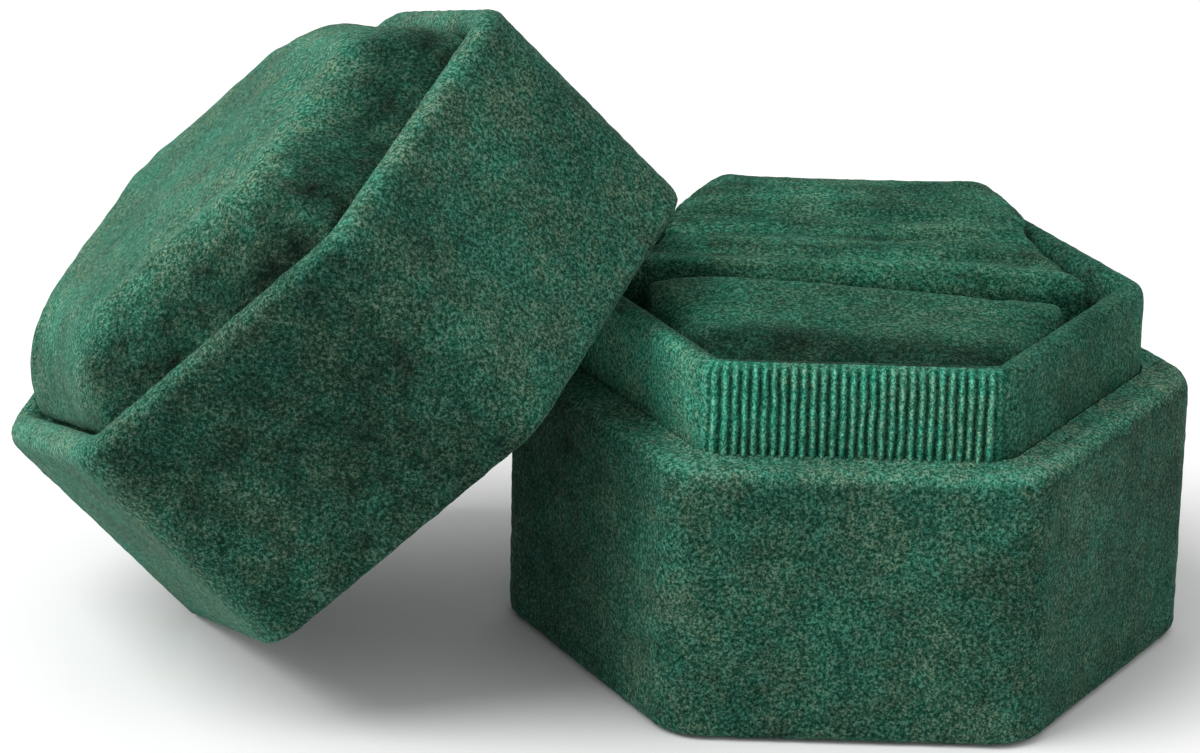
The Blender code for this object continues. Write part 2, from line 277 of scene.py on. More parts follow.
def hexagon_track(apothem, corner, counts):
    """Points and outward directions round a hexagon with rounded corners."""
    flat = 2 * (apothem - corner) * TAN30
    flat_count, arc_count = counts
    track = []
    for side in range(6):
        middle = math.radians(60 * side)
        centre = Vector((math.cos(middle), math.sin(middle))) * (apothem - corner) / COS30
        for index in range(arc_count):
            angle = middle - math.pi / 6 + math.pi / 3 * index / arc_count
            outward = Vector((math.cos(angle), math.sin(angle)))
            track.append((centre + outward * corner, outward))
        angle = middle + math.pi / 6
        outward = Vector((math.cos(angle), math.sin(angle)))
        along = Vector((-outward.y, outward.x))
        start = centre + outward * corner
        for index in range(flat_count):
            track.append((start + along * flat * index / flat_count, outward))
    return track


def ledge_track(step):
    """The base's outline, with directions that lead exactly on to the collar's outline."""
    counts = track_counts(OUTER_APOTHEM, BASE_CORNER, step)
    outer = hexagon_track(OUTER_APOTHEM, BASE_CORNER, counts)
    inner = hexagon_track(COLLAR_APOTHEM, COLLAR_CORNER, counts)
    width = OUTER_APOTHEM - COLLAR_APOTHEM
    return [(point, (point - target) / width) for (point, _), (target, _) in zip(outer, inner)]


ARC_STEPS = 8                         # pieces in each arc of a section


def rounded_path(corners, radii):
    """An open path through corners, each turned by an arc of its own radius."""
    path = [Vector(corners[0])]
    for before, corner, after, radius in zip(corners, corners[1:], corners[2:], radii[1:]):
        here = Vector(corner)
        back = (Vector(before) - here).normalized()
        ahead = (Vector(after) - here).normalized()
        half = back.angle(ahead) / 2
        if radius <= 0:
            path.append(here)
            continue
        centre = here + (back + ahead).normalized() * radius / math.sin(half)
        start = here + back * radius / math.tan(half) - centre
        turn = math.copysign(math.pi - 2 * half, ahead.cross(back))
        turns = [Matrix.Rotation(turn * index / ARC_STEPS, 2) for index in range(ARC_STEPS + 1)]
        path += [centre + rotation @ start for rotation in turns]
    path.append(Vector(corners[-1]))
    return path


def resampled(path, step):
    """The same open path with points evenly spaced, about one step apart."""
    lengths = [0.0]
    for last, point in zip(path, path[1:]):
        lengths.append(lengths[-1] + (point - last).length)
    count = max(1, round(lengths[-1] / step))
    stations = np.linspace(0, lengths[-1], count + 1)
    across = np.interp(stations, lengths, [point.x for point in path])
    upward = np.interp(stations, lengths, [point.y for point in path])
    return [Vector(pair) for pair in zip(across, upward)]


def section_of(seen, seen_radii, unseen):
    """A closed section: the seen stretch finely divided, the unseen one coarsely."""
    fine = resampled(rounded_path(seen, seen_radii), WEAVE)
    coarse = []
    for last, point in zip([seen[-1]] + unseen, unseen + [seen[0]]):
        coarse += resampled([Vector(last), Vector(point)], HIDDEN)[1:]
    return fine + coarse[:-1]


# ------------------------------------------------------------------ mesh helpers
def finish_piece(name, shape, place, material, smooth_angle=60):
    """The bmesh as an object at the origin, its place in its mesh."""
    bmesh.ops.recalc_face_normals(shape, faces=shape.faces)
    mesh = bpy.data.meshes.new(name)
    shape.to_mesh(mesh)
    shape.free()
    mesh.transform(place)
    mesh.materials.append(material)
    piece = bpy.data.objects.new(name, mesh)
    bpy.context.scene.collection.objects.link(piece)
    mesh.shade_smooth()
    mesh.set_sharp_from_angle(angle=math.radians(smooth_angle))
    return piece


def set_ring(verts, column, track, station):
    """Puts one loop of points at a station: its depth inside the track and its height."""
    depth, height = station
    for vert in verts:
        point, outward = track[vert[column]]
        spot = point - outward * depth
        vert.co = (spot.x, spot.y, height)


def band_shape(track, section):
    """A closed ring: the section carried round the track, one loop of edges at a time."""
    shape = bmesh.new()
    column = shape.verts.layers.int.new("column")
    ring = bmesh.ops.create_circle(shape, segments=len(track), radius=1.0)["verts"]
    for index, vert in enumerate(ring):
        vert[column] = index
    set_ring(ring, column, track, section[0])
    first = list(shape.edges)
    edges = first
    for station in section[1:]:
        grown = bmesh.ops.extrude_edge_only(shape, edges=edges)["geom"]
        verts = {item for item in grown if isinstance(item, bmesh.types.BMVert)}
        grown_edges = [item for item in grown if isinstance(item, bmesh.types.BMEdge)]
        edges = [edge for edge in grown_edges if verts.issuperset(edge.verts)]
        set_ring(verts, column, track, station)
    bmesh.ops.bridge_loops(shape, edges=first + edges)
    shape.verts.layers.int.remove(column)
    return shape


def raise_nap(piece, depth, size, seed):
    """Small rise and fall of the pile, moved into the mesh itself."""
    mesh = piece.data
    count = len(mesh.vertices)
    spots = np.empty(count * 3)
    outward = np.empty(count * 3)
    mesh.vertices.foreach_get("co", spots)
    mesh.vertex_normals.foreach_get("vector", outward)
    shift = Vector((seed * 17.3, seed * 5.1, seed * 9.7))
    lifts = []
    for x, y, z in spots.reshape(-1, 3) / size:
        spot = Vector((x, y, z)) + shift
        lifts.append(0.6 * noise.noise(spot) + 0.4 * noise.noise(spot * 2.1))
    spots += outward * np.repeat(lifts, 3) * depth
    mesh.vertices.foreach_set("co", spots)
    mesh.update()


def paint_light_and_shade(piece, rule, place=UPRIGHT):
    """Stores painted light and shade at each point: painted light above zero, painted shade below."""
    back = place.inverted()
    values = [rule(back @ vert.co) for vert in piece.data.vertices]
    piece.data.attributes.new("painted_light", "FLOAT", "POINT").data.foreach_set("value", values)


def smooth_step(value, start, end):
    share = min(1.0, max(0.0, (value - start) / (end - start)))
    return share * share * (3 - 2 * share)


def bump(value, centre, width):
    return math.exp(-((value - centre) / width) ** 2)


def inset(spot, apothem):
    """Distance of a point inside a hexagon's nearest side, blended softly where sides meet."""
    blend = 1.2 * MM
    sides = (math.radians(30 + 60 * side) for side in range(6))
    gaps = [apothem - spot.x * math.cos(side) - spot.y * math.sin(side) for side in sides]
    nearest = min(gaps)
    return nearest - blend * math.log(sum(math.exp((nearest - gap) / blend) for gap in gaps))


def facing(spot, degrees):
    """How squarely a point of the box's outside faces a compass direction: 1 on it, 0 past 36 degrees."""
    turned = abs((math.degrees(math.atan2(spot.y, spot.x)) - degrees + 180) % 360 - 180)
    return 1.0 - smooth_step(turned, 24, 36)


def flat_plate(corners, low, high):
    """A closed slab standing on the corner outline."""
    shape = bmesh.new()
    foot = shape.faces.new([shape.verts.new((x, y, low)) for x, y in corners])
    lifted = bmesh.ops.extrude_face_region(shape, geom=[foot])["geom"]
    top = [item for item in lifted if isinstance(item, bmesh.types.BMVert)]
    bmesh.ops.translate(shape, verts=top, vec=(0, 0, high - low))
    bmesh.ops.recalc_face_normals(shape, faces=shape.faces)
    return shape


def round_edges(shape, edges, offset, segments):
    bmesh.ops.bevel(shape, geom=edges, offset=offset, affect="EDGES", segments=segments, profile=0.5,
                    material=-1)


def round_uprights(shape, radius, segments=6):
    """Rounds the standing edges of a hexagonal plate."""
    lines = [(edge, edge.verts[0].co - edge.verts[1].co) for edge in shape.edges]
    uprights = [edge for edge, line in lines if abs(line.normalized().z) > 0.9]
    round_edges(shape, uprights, radius * TAN30, segments)


def round_top(shape, radius, segments=5):
    """Rounds the rim of a plate's top face."""
    top = max(vert.co.z for vert in shape.verts)
    edges = [edge for edge in shape.edges if min(vert.co.z for vert in edge.verts) > top - 0.001 * MM]
    round_edges(shape, edges, radius, segments)


def evaluated_mesh(piece):
    graph = bpy.context.evaluated_depsgraph_get()
    graph.update()
    return bpy.data.meshes.new_from_object(piece.evaluated_get(graph))


def settle_modifiers(piece):
    """Applies what stands on the piece, so that its mesh is the final one."""
    mesh = evaluated_mesh(piece)
    old = piece.data
    piece.modifiers.clear()
    piece.data = mesh
    bpy.data.meshes.remove(old)


SHOP_SCALE = 20.0                     # cloth is worked at this scale, where the solver is at home
PUFF_FRAMES = 20


def divide(piece, grain):
    """Gives a closed shape an even skin of small faces."""
    piece.data.transform(Matrix.Scale(SHOP_SCALE, 4))
    remesh = piece.modifiers.new("Even cloth", "REMESH")
    remesh.mode = "VOXEL"
    remesh.voxel_size = grain * SHOP_SCALE
    settle_modifiers(piece)
    piece.data.transform(Matrix.Scale(1 / SHOP_SCALE, 4))


def puff(piece, grain, pressure, reach, held_below):
    """Swells a closed shape as stuffed cloth, held fast below a height, no point moving past reach."""
    divide(piece, grain)
    piece.data.transform(Matrix.Scale(SHOP_SCALE, 4))
    held = piece.vertex_groups.new(name="held")
    low = [vert.index for vert in piece.data.vertices if vert.co.z < held_below * SHOP_SCALE]
    held.add(low, 1.0, "REPLACE")
    start = np.array([vert.co for vert in piece.data.vertices])
    cloth = piece.modifiers.new("Stuffed cloth", "CLOTH")
    cloth.settings.quality = 6
    cloth.settings.mass = 0.3
    cloth.settings.tension_stiffness = 12
    cloth.settings.compression_stiffness = 12
    cloth.settings.shear_stiffness = 5
    cloth.settings.bending_stiffness = 1.2
    cloth.settings.use_pressure = True
    cloth.settings.uniform_pressure_force = pressure
    cloth.settings.vertex_group_mass = "held"
    cloth.settings.effector_weights.gravity = 0.0
    cloth.point_cache.frame_start = 1
    cloth.point_cache.frame_end = PUFF_FRAMES
    for step in range(1, PUFF_FRAMES + 1):
        bpy.context.scene.frame_set(step)
    swollen = evaluated_mesh(piece)
    moved = np.array([vert.co for vert in swollen.vertices]) - start
    distance = np.linalg.norm(moved, axis=1, keepdims=True)
    limit = reach * SHOP_SCALE
    moved *= np.minimum(1.0, limit / np.maximum(distance, 1e-9))
    piece.modifiers.clear()
    piece.vertex_groups.clear()
    piece.data.vertices.foreach_set("co", (start + moved).ravel())
    bpy.data.meshes.remove(swollen)
    bpy.context.scene.frame_set(1)
    piece.data.transform(Matrix.Scale(1 / SHOP_SCALE, 4))


def refine(piece):
    """One subdivision, for a smooth cloth surface."""
    subdivision = piece.modifiers.new("Finer cloth", "SUBSURF")
    subdivision.levels = 1
    subdivision.render_levels = 1
    settle_modifiers(piece)
    piece.data.shade_smooth()


# ------------------------------------------------------------------ base and collar
FOOT_FOLD = 5.0 * MM                  # velvet turned under the bottom edge
CREASE = 2.6 * MM                     # shallow crease in the ledge, from the outside
CREASE_DEPTH = 0.25 * MM
COLLAR_TUCK = 1.2 * MM                # the collar's fine velvet starts this far below the ledge
RIM_ROUND = 1.2 * MM
RIM_THIN = 0.6 * MM                   # the velvet's hidden side stays this much lower at the rim


def base_painted_light(spot):
    """Painted light on the ledge; painted shadow of the lid on the left side, deepening away from the front;
    painted shade on the right side.
    """
    ledge = smooth_step(spot.z, LEDGE_Z - 1.2 * MM, LEDGE_Z - 0.2 * MM)
    left = facing(spot, -150) * (0.55 * smooth_step(spot.x, -26 * MM, -15 * MM) - 0.30)
    return 0.80 * ledge + (1 - ledge) * (left - 0.15 * facing(spot, -30))


def build_base():
    track = ledge_track(WEAVE)
    ledge = OUTER_APOTHEM - COLLAR_APOTHEM - 0.10 * MM
    low = BASE_LOW.z
    seen = [(FOOT_FOLD, low), (0, low), (0, LEDGE_Z), (CREASE - 0.3 * MM, LEDGE_Z),
            (CREASE, LEDGE_Z - CREASE_DEPTH), (CREASE + 0.3 * MM, LEDGE_Z),
            (ledge, LEDGE_Z + CREASE_DEPTH), (ledge, LEDGE_Z - VELVET)]
    seen_radii = [0, 0.9 * MM, 1.7 * MM, 0.2 * MM, 0.15 * MM, 0.2 * MM, 0.1 * MM, 0]
    unseen = [(VELVET, LEDGE_Z - VELVET), (VELVET, low + VELVET), (FOOT_FOLD, low + VELVET)]
    shape = band_shape(track, section_of(seen, seen_radii, unseen))
    piece = finish_piece("base_velvet", shape, UPRIGHT, velvet)
    raise_nap(piece, depth=0.10 * MM, size=1.3 * MM, seed=1)
    paint_light_and_shade(piece, base_painted_light)
    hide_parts("base_outer_wrap")
    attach(piece, "base")


def collar_painted_light(spot):
    """Painted light on the collar's left outside, painted shade on its right outside, and painted shade on the
    rim's inner side, deepest at the front.
    """
    inside = smooth_step(inset(spot, COLLAR_APOTHEM), 0.5 * MM, 1.3 * MM)
    outside = 0.80 * facing(spot, -150) - 0.12 * facing(spot, -30)
    return (1 - inside) * outside - inside * (0.15 + 0.35 * facing(spot, -90))


def build_collar():
    counts = track_counts(COLLAR_APOTHEM, COLLAR_CORNER, WEAVE)
    track = hexagon_track(COLLAR_APOTHEM, COLLAR_CORNER, counts)
    root = LEDGE_Z - COLLAR_TUCK
    inner = COLLAR_WALL
    thinned = RIM_Z - COLLAR_VELVET - RIM_THIN
    seen = [(0, root), (0, RIM_Z), (inner, RIM_Z), (inner, COLLAR_LOW.z)]
    seen_radii = [0, RIM_ROUND, RIM_ROUND, 0]
    unseen = [(inner - COLLAR_VELVET, COLLAR_LOW.z), (inner - COLLAR_VELVET, thinned),
              (inner / 2, RIM_Z - COLLAR_VELVET),
              (COLLAR_VELVET, thinned), (COLLAR_VELVET, COLLAR_LOW.z), (0, COLLAR_LOW.z)]
    shape = band_shape(track, section_of(seen, seen_radii, unseen))
    piece = finish_piece("collar_velvet", shape, UPRIGHT, collar_velvet)
    raise_nap(piece, depth=0.07 * MM, size=1.2 * MM, seed=2)
    paint_light_and_shade(piece, collar_painted_light)
    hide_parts("collar_wrap")
    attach(piece, "base")


RIBS = 31
RIB_PITCH = 0.81 * MM
PANEL_SHIFT = -0.45 * MM              # the panel sits a little to the left
PANEL_BACKING = 0.16 * MM
PANEL_OVER_RIM = math.radians(75)     # how far the panel rolls over the rim
RIB_DEPTH = 0.46 * MM
RIB_STAND = 0.14 * MM                 # the ribs' feet stand in front of the collar's velvet
RIB_COLUMNS = 10                      # grid columns to a rib
RIB_ROWS = 40


def collar_front(along, offset):
    """Point of the collar's outline at a distance along from the middle of its front."""
    half_flat = (COLLAR_APOTHEM - COLLAR_CORNER) * TAN30
    side = math.copysign(1.0, along)
    past = abs(along) - half_flat
    reach = COLLAR_CORNER + offset
    if past <= 0:
        return Vector((along, -(COLLAR_APOTHEM + offset)))
    turn = past / COLLAR_CORNER
    return Vector((side * (half_flat + reach * math.sin(turn)),
                   -(COLLAR_APOTHEM - COLLAR_CORNER) - reach * math.cos(turn)))


def build_ribs():
    """Corded panel: upright ribs that wander a little, on a thin backing that rolls over the rim."""
    low = LEDGE_Z + 0.10 * MM
    shape = bmesh.new()
    # per-point painted light and shade, read by the velvet's shader
    painted_light_layer = shape.verts.layers.float.new("painted_light")
    bmesh.ops.create_grid(shape, x_segments=RIBS * RIB_COLUMNS, y_segments=RIB_ROWS, size=0.5)
    straight = RIM_Z - low - RIM_ROUND
    bend = RIM_ROUND + 0.1 * MM
    length = straight + bend * PANEL_OVER_RIM
    for vert in shape.verts:
        across = vert.co.x * RIBS * RIB_PITCH + PANEL_SHIFT
        up = (vert.co.y + 0.5) * length
        wander = 0.13 * MM * noise.noise(Vector((across / (2.2 * MM), up / (2.6 * MM), 4.0)))
        phase = (across + wander) / RIB_PITCH
        wave = (0.5 - 0.5 * math.cos(2 * math.pi * phase)) ** 0.85
        swell = 1.0 + 0.45 * noise.noise(Vector((across / (0.8 * MM), up / (0.7 * MM), 8.0)))
        end = smooth_step((0.5 - abs(vert.co.x)) * RIBS, 0, 1.4)
        turn = max(0.0, up - straight) / bend
        over_rim = smooth_step(turn, 0.3, PANEL_OVER_RIM)
        depth = RIB_DEPTH * wave * swell * end * (1 - 0.9 * over_rim)
        stand = 0.06 * MM + RIB_STAND * end * (1 - 0.8 * over_rim) + depth
        offset = stand if turn <= 0 else (RIM_ROUND + stand) * math.cos(turn) - RIM_ROUND
        height = low + min(up, straight) + (RIM_ROUND + stand) * math.sin(turn)
        spot = collar_front(across, offset)
        vert.co = (spot.x, spot.y, height)
        # painted shade in the grooves between ribs and painted light on their crests; past the ribs, painted light
        # at the left end and painted shade at the right end
        rib_painted_shade = -0.60 + 1.15 * wave * (0.4 + 0.6 * swell)
        end_painted_light = 0.15 if across < 0 else -0.40
        vert[painted_light_layer] = (rib_painted_shade * end + end_painted_light * (1 - end)) * (1 - 0.8 * over_rim)
    bmesh.ops.recalc_face_normals(shape, faces=shape.faces)
    piece = finish_piece("corded_panel", shape, UPRIGHT, corded_velvet, 80)
    if piece.data.polygons[len(piece.data.polygons) // 2].normal.y > 0:
        piece.data.flip_normals()
    backing = piece.modifiers.new("Backing", "SOLIDIFY")
    backing.thickness = PANEL_BACKING
    backing.offset = -1.0
    settle_modifiers(piece)
    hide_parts("collar_ribbed_panel")
    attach(piece, "base")


# ------------------------------------------------------------------ ring cushion
PAD_APOTHEM = 19.05 * MM              # the pads swell to touch the collar's inside, at 19.5 mm
PAD_SHOULDER_APOTHEM = 18.55 * MM     # room for the shoulders to move as the slot opens
HELD_FOOT = 5.0 * MM                  # the lowest stretch of a half, which doesn't swell
FRONT_PAD_TOP = 32.1 * MM
REAR_PAD_TOP = 32.6 * MM
REAR_FOLDS = (                        # distance from the slot, depth and half width of each slack fold
    (4.4 * MM, 0.75 * MM, 0.8 * MM), (7.6 * MM, 0.65 * MM, 0.7 * MM), (10.6 * MM, 0.45 * MM, 0.6 * MM),
)


def pad_plan(slot, slot_half, shoulder):
    """Plan of a pad that fills its half of the well: slot edge, shoulders and the short wall edge."""
    away = math.copysign(1.0, shoulder)
    wide = (PAD_SHOULDER_APOTHEM - abs(shoulder) / 2) / COS30
    right = [(slot_half, slot), (wide, shoulder), (PAD_APOTHEM * TAN30, away * PAD_APOTHEM)]
    left = [(-x, y) for x, y in reversed(right)]
    return right + left


def build_pad(name, cover, core, body, plan, top, dress, painted_light, seed):
    """One half of the ring cushion, stuffed and dressed, its slot edge following its body."""
    low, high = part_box(cover)
    shape = flat_plate(plan, low.z, top)
    round_uprights(shape, 1.8 * MM)
    round_top(shape, 1.1 * MM)
    piece = finish_piece(name, shape, UPRIGHT, pad_velvet)
    puff(piece, grain=0.65 * MM, pressure=2.2, reach=0.35 * MM, held_below=low.z + HELD_FOOT)
    dress(piece, low, high)
    refine(piece)
    raise_nap(piece, depth=0.09 * MM, size=1.2 * MM, seed=seed)
    paint_light_and_shade(piece, painted_light)
    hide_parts(cover, core)
    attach(piece, body)
    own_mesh(piece)


def dress_front_pad(piece, low, high):
    """The pad rolls down to the front wall, sags towards its right end and has one faint crease."""
    for vert in piece.data.vertices:
        above = smooth_step(vert.co.z, low.z + 3 * MM, high.z - 1.0 * MM)
        from_slot = high.y - vert.co.y
        roll = 1.6 * MM * smooth_step(from_slot, 9.5 * MM, 16.0 * MM)
        sag = 1.5 * MM * smooth_step(vert.co.x, -4 * MM, 18 * MM)
        tuck = 0.7 * MM * smooth_step(-vert.co.x, 11 * MM, 19 * MM)
        line = 10.2 * MM + 0.6 * MM * math.sin(vert.co.x / (9 * MM))
        share = 0.6 + 0.5 * noise.noise(Vector((vert.co.x / (6 * MM), 2.0, 0.0)))
        crease = 0.30 * MM * share * bump(from_slot, line, 0.9 * MM)
        beside = bump(from_slot, 1.5 * MM, 4.0 * MM)
        vert.co.z -= above * (roll + sag + tuck + crease - 0.9 * MM * beside)
        vert.co.y += 0.5 * MM * above * beside * smooth_step(-vert.co.x, 0, 17 * MM)


def front_pad_painted_light(spot):
    """Painted highlight along the slot's edge, painted shade on the roll down behind the front rim."""
    slot_edge_highlight = bump(spot.y, -2.4 * MM, 0.5 * MM) * smooth_step(spot.z, 28.5 * MM, 30.5 * MM)
    return 0.05 + 0.8 * slot_edge_highlight - 0.55 * smooth_step(-spot.y, 11.0 * MM, 14.5 * MM)


def dress_rear_pad(piece, low, high):
    """A stuffed ridge runs beside the slot, slack folds lie behind it and the back swells over the rim."""
    for vert in piece.data.vertices:
        above = smooth_step(vert.co.z, low.z + 3 * MM, high.z - 1.0 * MM)
        from_slot = vert.co.y - low.y
        dip = 0.3 * MM * bump(from_slot, 0, 1.5 * MM)
        drop = 0.0
        for line, depth, width in REAR_FOLDS:
            bend = line + 0.7 * MM * noise.noise(Vector((vert.co.x / (12 * MM), line / MM, 0.0)))
            share = 0.55 + 0.7 * noise.noise(Vector((vert.co.x / (8 * MM), line / MM, 3.0)))
            drop += depth * max(0.0, share) * bump(from_slot, bend, width)
        sag = 0.5 * MM * smooth_step(vert.co.x, 8 * MM, high.x)
        crown = 1.9 * MM * smooth_step(from_slot, 2 * MM, 18 * MM)
        vert.co.z -= above * (dip + drop + sag - crown)
        spread = smooth_step(vert.co.z, RIM_Z + 0.4 * MM, RIM_Z + 1.4 * MM)
        spread *= smooth_step(from_slot, 1 * MM, 7 * MM)
        vert.co.x *= 1 + 0.115 * spread
        vert.co.y *= 1 + 0.085 * spread


def rear_pad_painted_light(spot):
    """Painted light and shade along folds that run with the slot; painted shade in the slot and painted light on
    the ridge beside it.
    """
    fold = noise.noise(Vector((spot.x / (9 * MM), spot.y / (1.1 * MM), 5.0)))
    ridge_painted_light = bump(spot.y, 2.4 * MM, 1.0 * MM)
    return 0.50 * fold + 0.30 * ridge_painted_light - 0.45 * bump(spot.y, -0.8 * MM, 0.7 * MM)


def build_well_floor():
    """Velvet at the bottom of the well."""
    low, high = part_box("well_floor_velvet")
    reach = high.y / COS30
    shape = bmesh.new()
    bmesh.ops.create_circle(shape, cap_ends=True, segments=6, radius=reach)
    lifted = bmesh.ops.extrude_face_region(shape, geom=shape.faces[:])["geom"]
    top = [item for item in lifted if isinstance(item, bmesh.types.BMVert)]
    bmesh.ops.translate(shape, verts=top, vec=(0, 0, high.z - low.z))
    bmesh.ops.translate(shape, verts=shape.verts, vec=(0, 0, low.z))
    piece = finish_piece("well_floor_cloth", shape, UPRIGHT, pad_velvet)
    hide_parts("well_floor_velvet")
    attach(piece, "base")


# ------------------------------------------------------------------ lid
FOLD_REACH = 2.6 * MM                 # the rim's velvet turns in under the pillow's edge
FOLD_RISE = 0.86 * MM                 # from the shelf to the underside of that fold
FOLD_THICKNESS = 0.14 * MM
LINING_TOP = 18.4 * MM
LINING_LOW = 0.95 * MM
LINING_GRID = 0.8 * MM
PILLOW_APOTHEM = OUTER_APOTHEM - LID_WALL - 0.25 * MM
PILLOW_FOOT = LID_SHELF + 1.05 * MM
PILLOW_EDGE = 1.4 * MM
PILLOW_RISE = 6.2 * MM
CEILING_APOTHEM = OUTER_APOTHEM - LID_WALL - 0.4 * MM


def lid_painted_light(spot):
    """Painted highlight along the raised rim, painted light on two of the sides, painted shade on the front one.
    """
    rim_highlight = bump(spot.z, LID_HEIGHT, 0.9 * MM)
    return 0.65 * rim_highlight - 0.36 * facing(spot, -90) + 0.12 * facing(spot, -30) + 0.30 * facing(spot, -150)


def build_lid_velvet():
    counts = track_counts(OUTER_APOTHEM, BASE_CORNER, WEAVE)
    track = hexagon_track(OUTER_APOTHEM, BASE_CORNER, counts)
    inner = LID_WALL - LID_VELVET
    fold = LID_SHELF + FOLD_RISE
    seen = [(LID_WALL, VELVET), (LID_WALL, 0), (0, 0), (0, LID_HEIGHT), (LID_WALL, LID_HEIGHT),
            (LID_WALL, fold + FOLD_THICKNESS), (LID_WALL + FOLD_REACH, fold + FOLD_THICKNESS)]
    seen_radii = [0, 0.5 * MM, 0.8 * MM, 1.5 * MM, 1.3 * MM, 0, 0]
    unseen = [(LID_WALL + FOLD_REACH, fold), (inner, fold), (inner, LID_HEIGHT - VELVET),
              (VELVET, LID_HEIGHT - VELVET), (VELVET, VELVET)]
    shape = band_shape(track, section_of(seen, seen_radii, unseen))
    piece = finish_piece("lid_velvet", shape, LID, velvet)
    raise_nap(piece, depth=0.10 * MM, size=1.3 * MM, seed=3)
    paint_light_and_shade(piece, lid_painted_light, LID)
    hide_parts("lid_outer_wrap")
    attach(piece, "lid")


def build_lining():
    counts = track_counts(OUTER_APOTHEM, BASE_CORNER, LINING_GRID)
    track = hexagon_track(OUTER_APOTHEM, BASE_CORNER, counts)
    outer = LID_WALL - LID_VELVET
    inside = resampled([Vector((LID_WALL, LINING_TOP)), Vector((LID_WALL, LINING_LOW))], LINING_GRID)
    outside = resampled([Vector((outer, LINING_LOW)), Vector((outer, LINING_TOP))], HIDDEN)
    piece = finish_piece("lid_inside_velvet", band_shape(track, inside + outside), LID, lining_velvet)
    raise_nap(piece, depth=0.06 * MM, size=1.6 * MM, seed=7)
    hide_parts("lid_lining")
    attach(piece, "lid")


def lid_hexagon(apothem):
    reach = apothem / COS30
    angles = [math.radians(60 * side) for side in range(6)]
    return [(reach * math.cos(angle), reach * math.sin(angle)) for angle in angles]


def crown_pillow(piece, low):
    """Lifts a flat panel into a crowned pillow that rolls steeply into the recess at its edges."""
    for vert in piece.data.vertices:
        share = min(1.0, max(0.0, inset(vert.co, PILLOW_APOTHEM) / (7.0 * MM)))
        crown = (1 - (1 - share) ** 2.4) ** 0.65
        vert.co.z += PILLOW_RISE * crown * smooth_step(vert.co.z, low + 0.5 * MM, low + PILLOW_EDGE)


def dress_pillow(piece, low):
    """Sides pull in between the corners, the cloth gathers at the corners and the crest rolls a little."""
    for vert in piece.data.vertices:
        above = smooth_step(vert.co.z, low + 1 * MM, low + 3 * MM)
        edge = smooth_step(vert.co.xy.length, 12 * MM, 21 * MM)
        bearing = math.atan2(vert.co.y, vert.co.x)
        off_corner = (bearing + math.pi / 6) % (math.pi / 3) - math.pi / 6
        gather = math.sin(off_corner * 36 + 3 * noise.noise(vert.co / (8 * MM)))
        slack = noise.noise(Vector((vert.co.x / (8 * MM), vert.co.y / (8 * MM), 1.5)))
        within = inset(vert.co, PILLOW_APOTHEM)
        near = max(facing(vert.co, -90), facing(vert.co, -30))
        roll = 0.40 * near * (bump(within, 5.5 * MM, 1.8 * MM) - bump(within, 9.5 * MM, 2.0 * MM))
        pull = (0.6 + 0.8 * facing(vert.co, -30)) * smooth_step(abs(off_corner), 0.10, 0.50)
        lift = 0.20 * edge * gather * bump(off_corner, 0, 0.20) + 0.4 * slack * (1 - edge) + roll
        vert.co.z += above * MM * lift
        vert.co.xy *= 1 - 0.05 * pull * edge * above


def pillow_painted_light(spot):
    """Painted light over the pillow, more on its crest, and painted shade on the slope down to the rim, deepest on
    the near sides.
    """
    within = inset(spot, PILLOW_APOTHEM)
    slope_painted_shade = 1 - smooth_step(within, 2.0 * MM, 6.0 * MM)
    crest_painted_light = 0.15 * bump(within, 7.0 * MM, 1.5 * MM)
    return 0.28 + crest_painted_light - slope_painted_shade * (0.20 + 0.60 * max(0.85 * facing(spot, -90), facing(spot, -30)))


def build_pillow():
    """Puffed pillow that fills the recess of the top and stands above the rim."""
    low = PILLOW_FOOT
    shape = flat_plate(lid_hexagon(PILLOW_APOTHEM), low, low + PILLOW_EDGE)
    round_uprights(shape, 2.0 * MM, 4)
    piece = finish_piece("lid_pillow", shape, UPRIGHT, pillow_velvet)
    divide(piece, 0.6 * MM)
    crown_pillow(piece, low)
    puff(piece, grain=1.0 * MM, pressure=3.0, reach=0.7 * MM, held_below=low + 1.2 * MM)
    dress_pillow(piece, low)
    refine(piece)
    piece.data.transform(LID)
    raise_nap(piece, depth=0.09 * MM, size=1.3 * MM, seed=4)
    paint_light_and_shade(piece, pillow_painted_light, LID)
    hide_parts("lid_pillow_cover", "lid_pillow_foam")
    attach(piece, "lid")


def build_ceiling():
    """Thin padded panel inside the lid, stuffed upside down and then turned over."""
    shape = flat_plate(lid_hexagon(CEILING_APOTHEM), -CEILING_PAD_HIGH, -CEILING_PAD_LOW)
    round_uprights(shape, 2.0 * MM)
    round_top(shape, 0.8 * MM)
    piece = finish_piece("lid_ceiling_cushion", shape, UPRIGHT, lining_velvet)
    puff(piece, grain=0.8 * MM, pressure=0.8, reach=0.3 * MM, held_below=-CEILING_PAD_LOW - 1.0 * MM)
    piece.data.transform(Matrix.Rotation(math.pi, 4, "X"))
    refine(piece)
    piece.data.transform(LID)
    raise_nap(piece, depth=0.06 * MM, size=1.4 * MM, seed=8)
    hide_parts("lid_ceiling_pad")
    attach(piece, "lid")


def dress_boards():
    """Boards and foot keep their CAD shape and take their own finish."""
    finishes = {"greyboard": board_finish("grey_paperboard"), "foam": foam_finish("cream_foam"),
                "felt": felt_finish("dark_felt")}
    for row in frame["record"]["subparts"]:
        material = finishes.get(row["material_slot"])
        node = frame["nodes"][row["node"]]
        if material and not node.hide_render:
            node.data.materials.clear()
            node.data.materials.append(material)


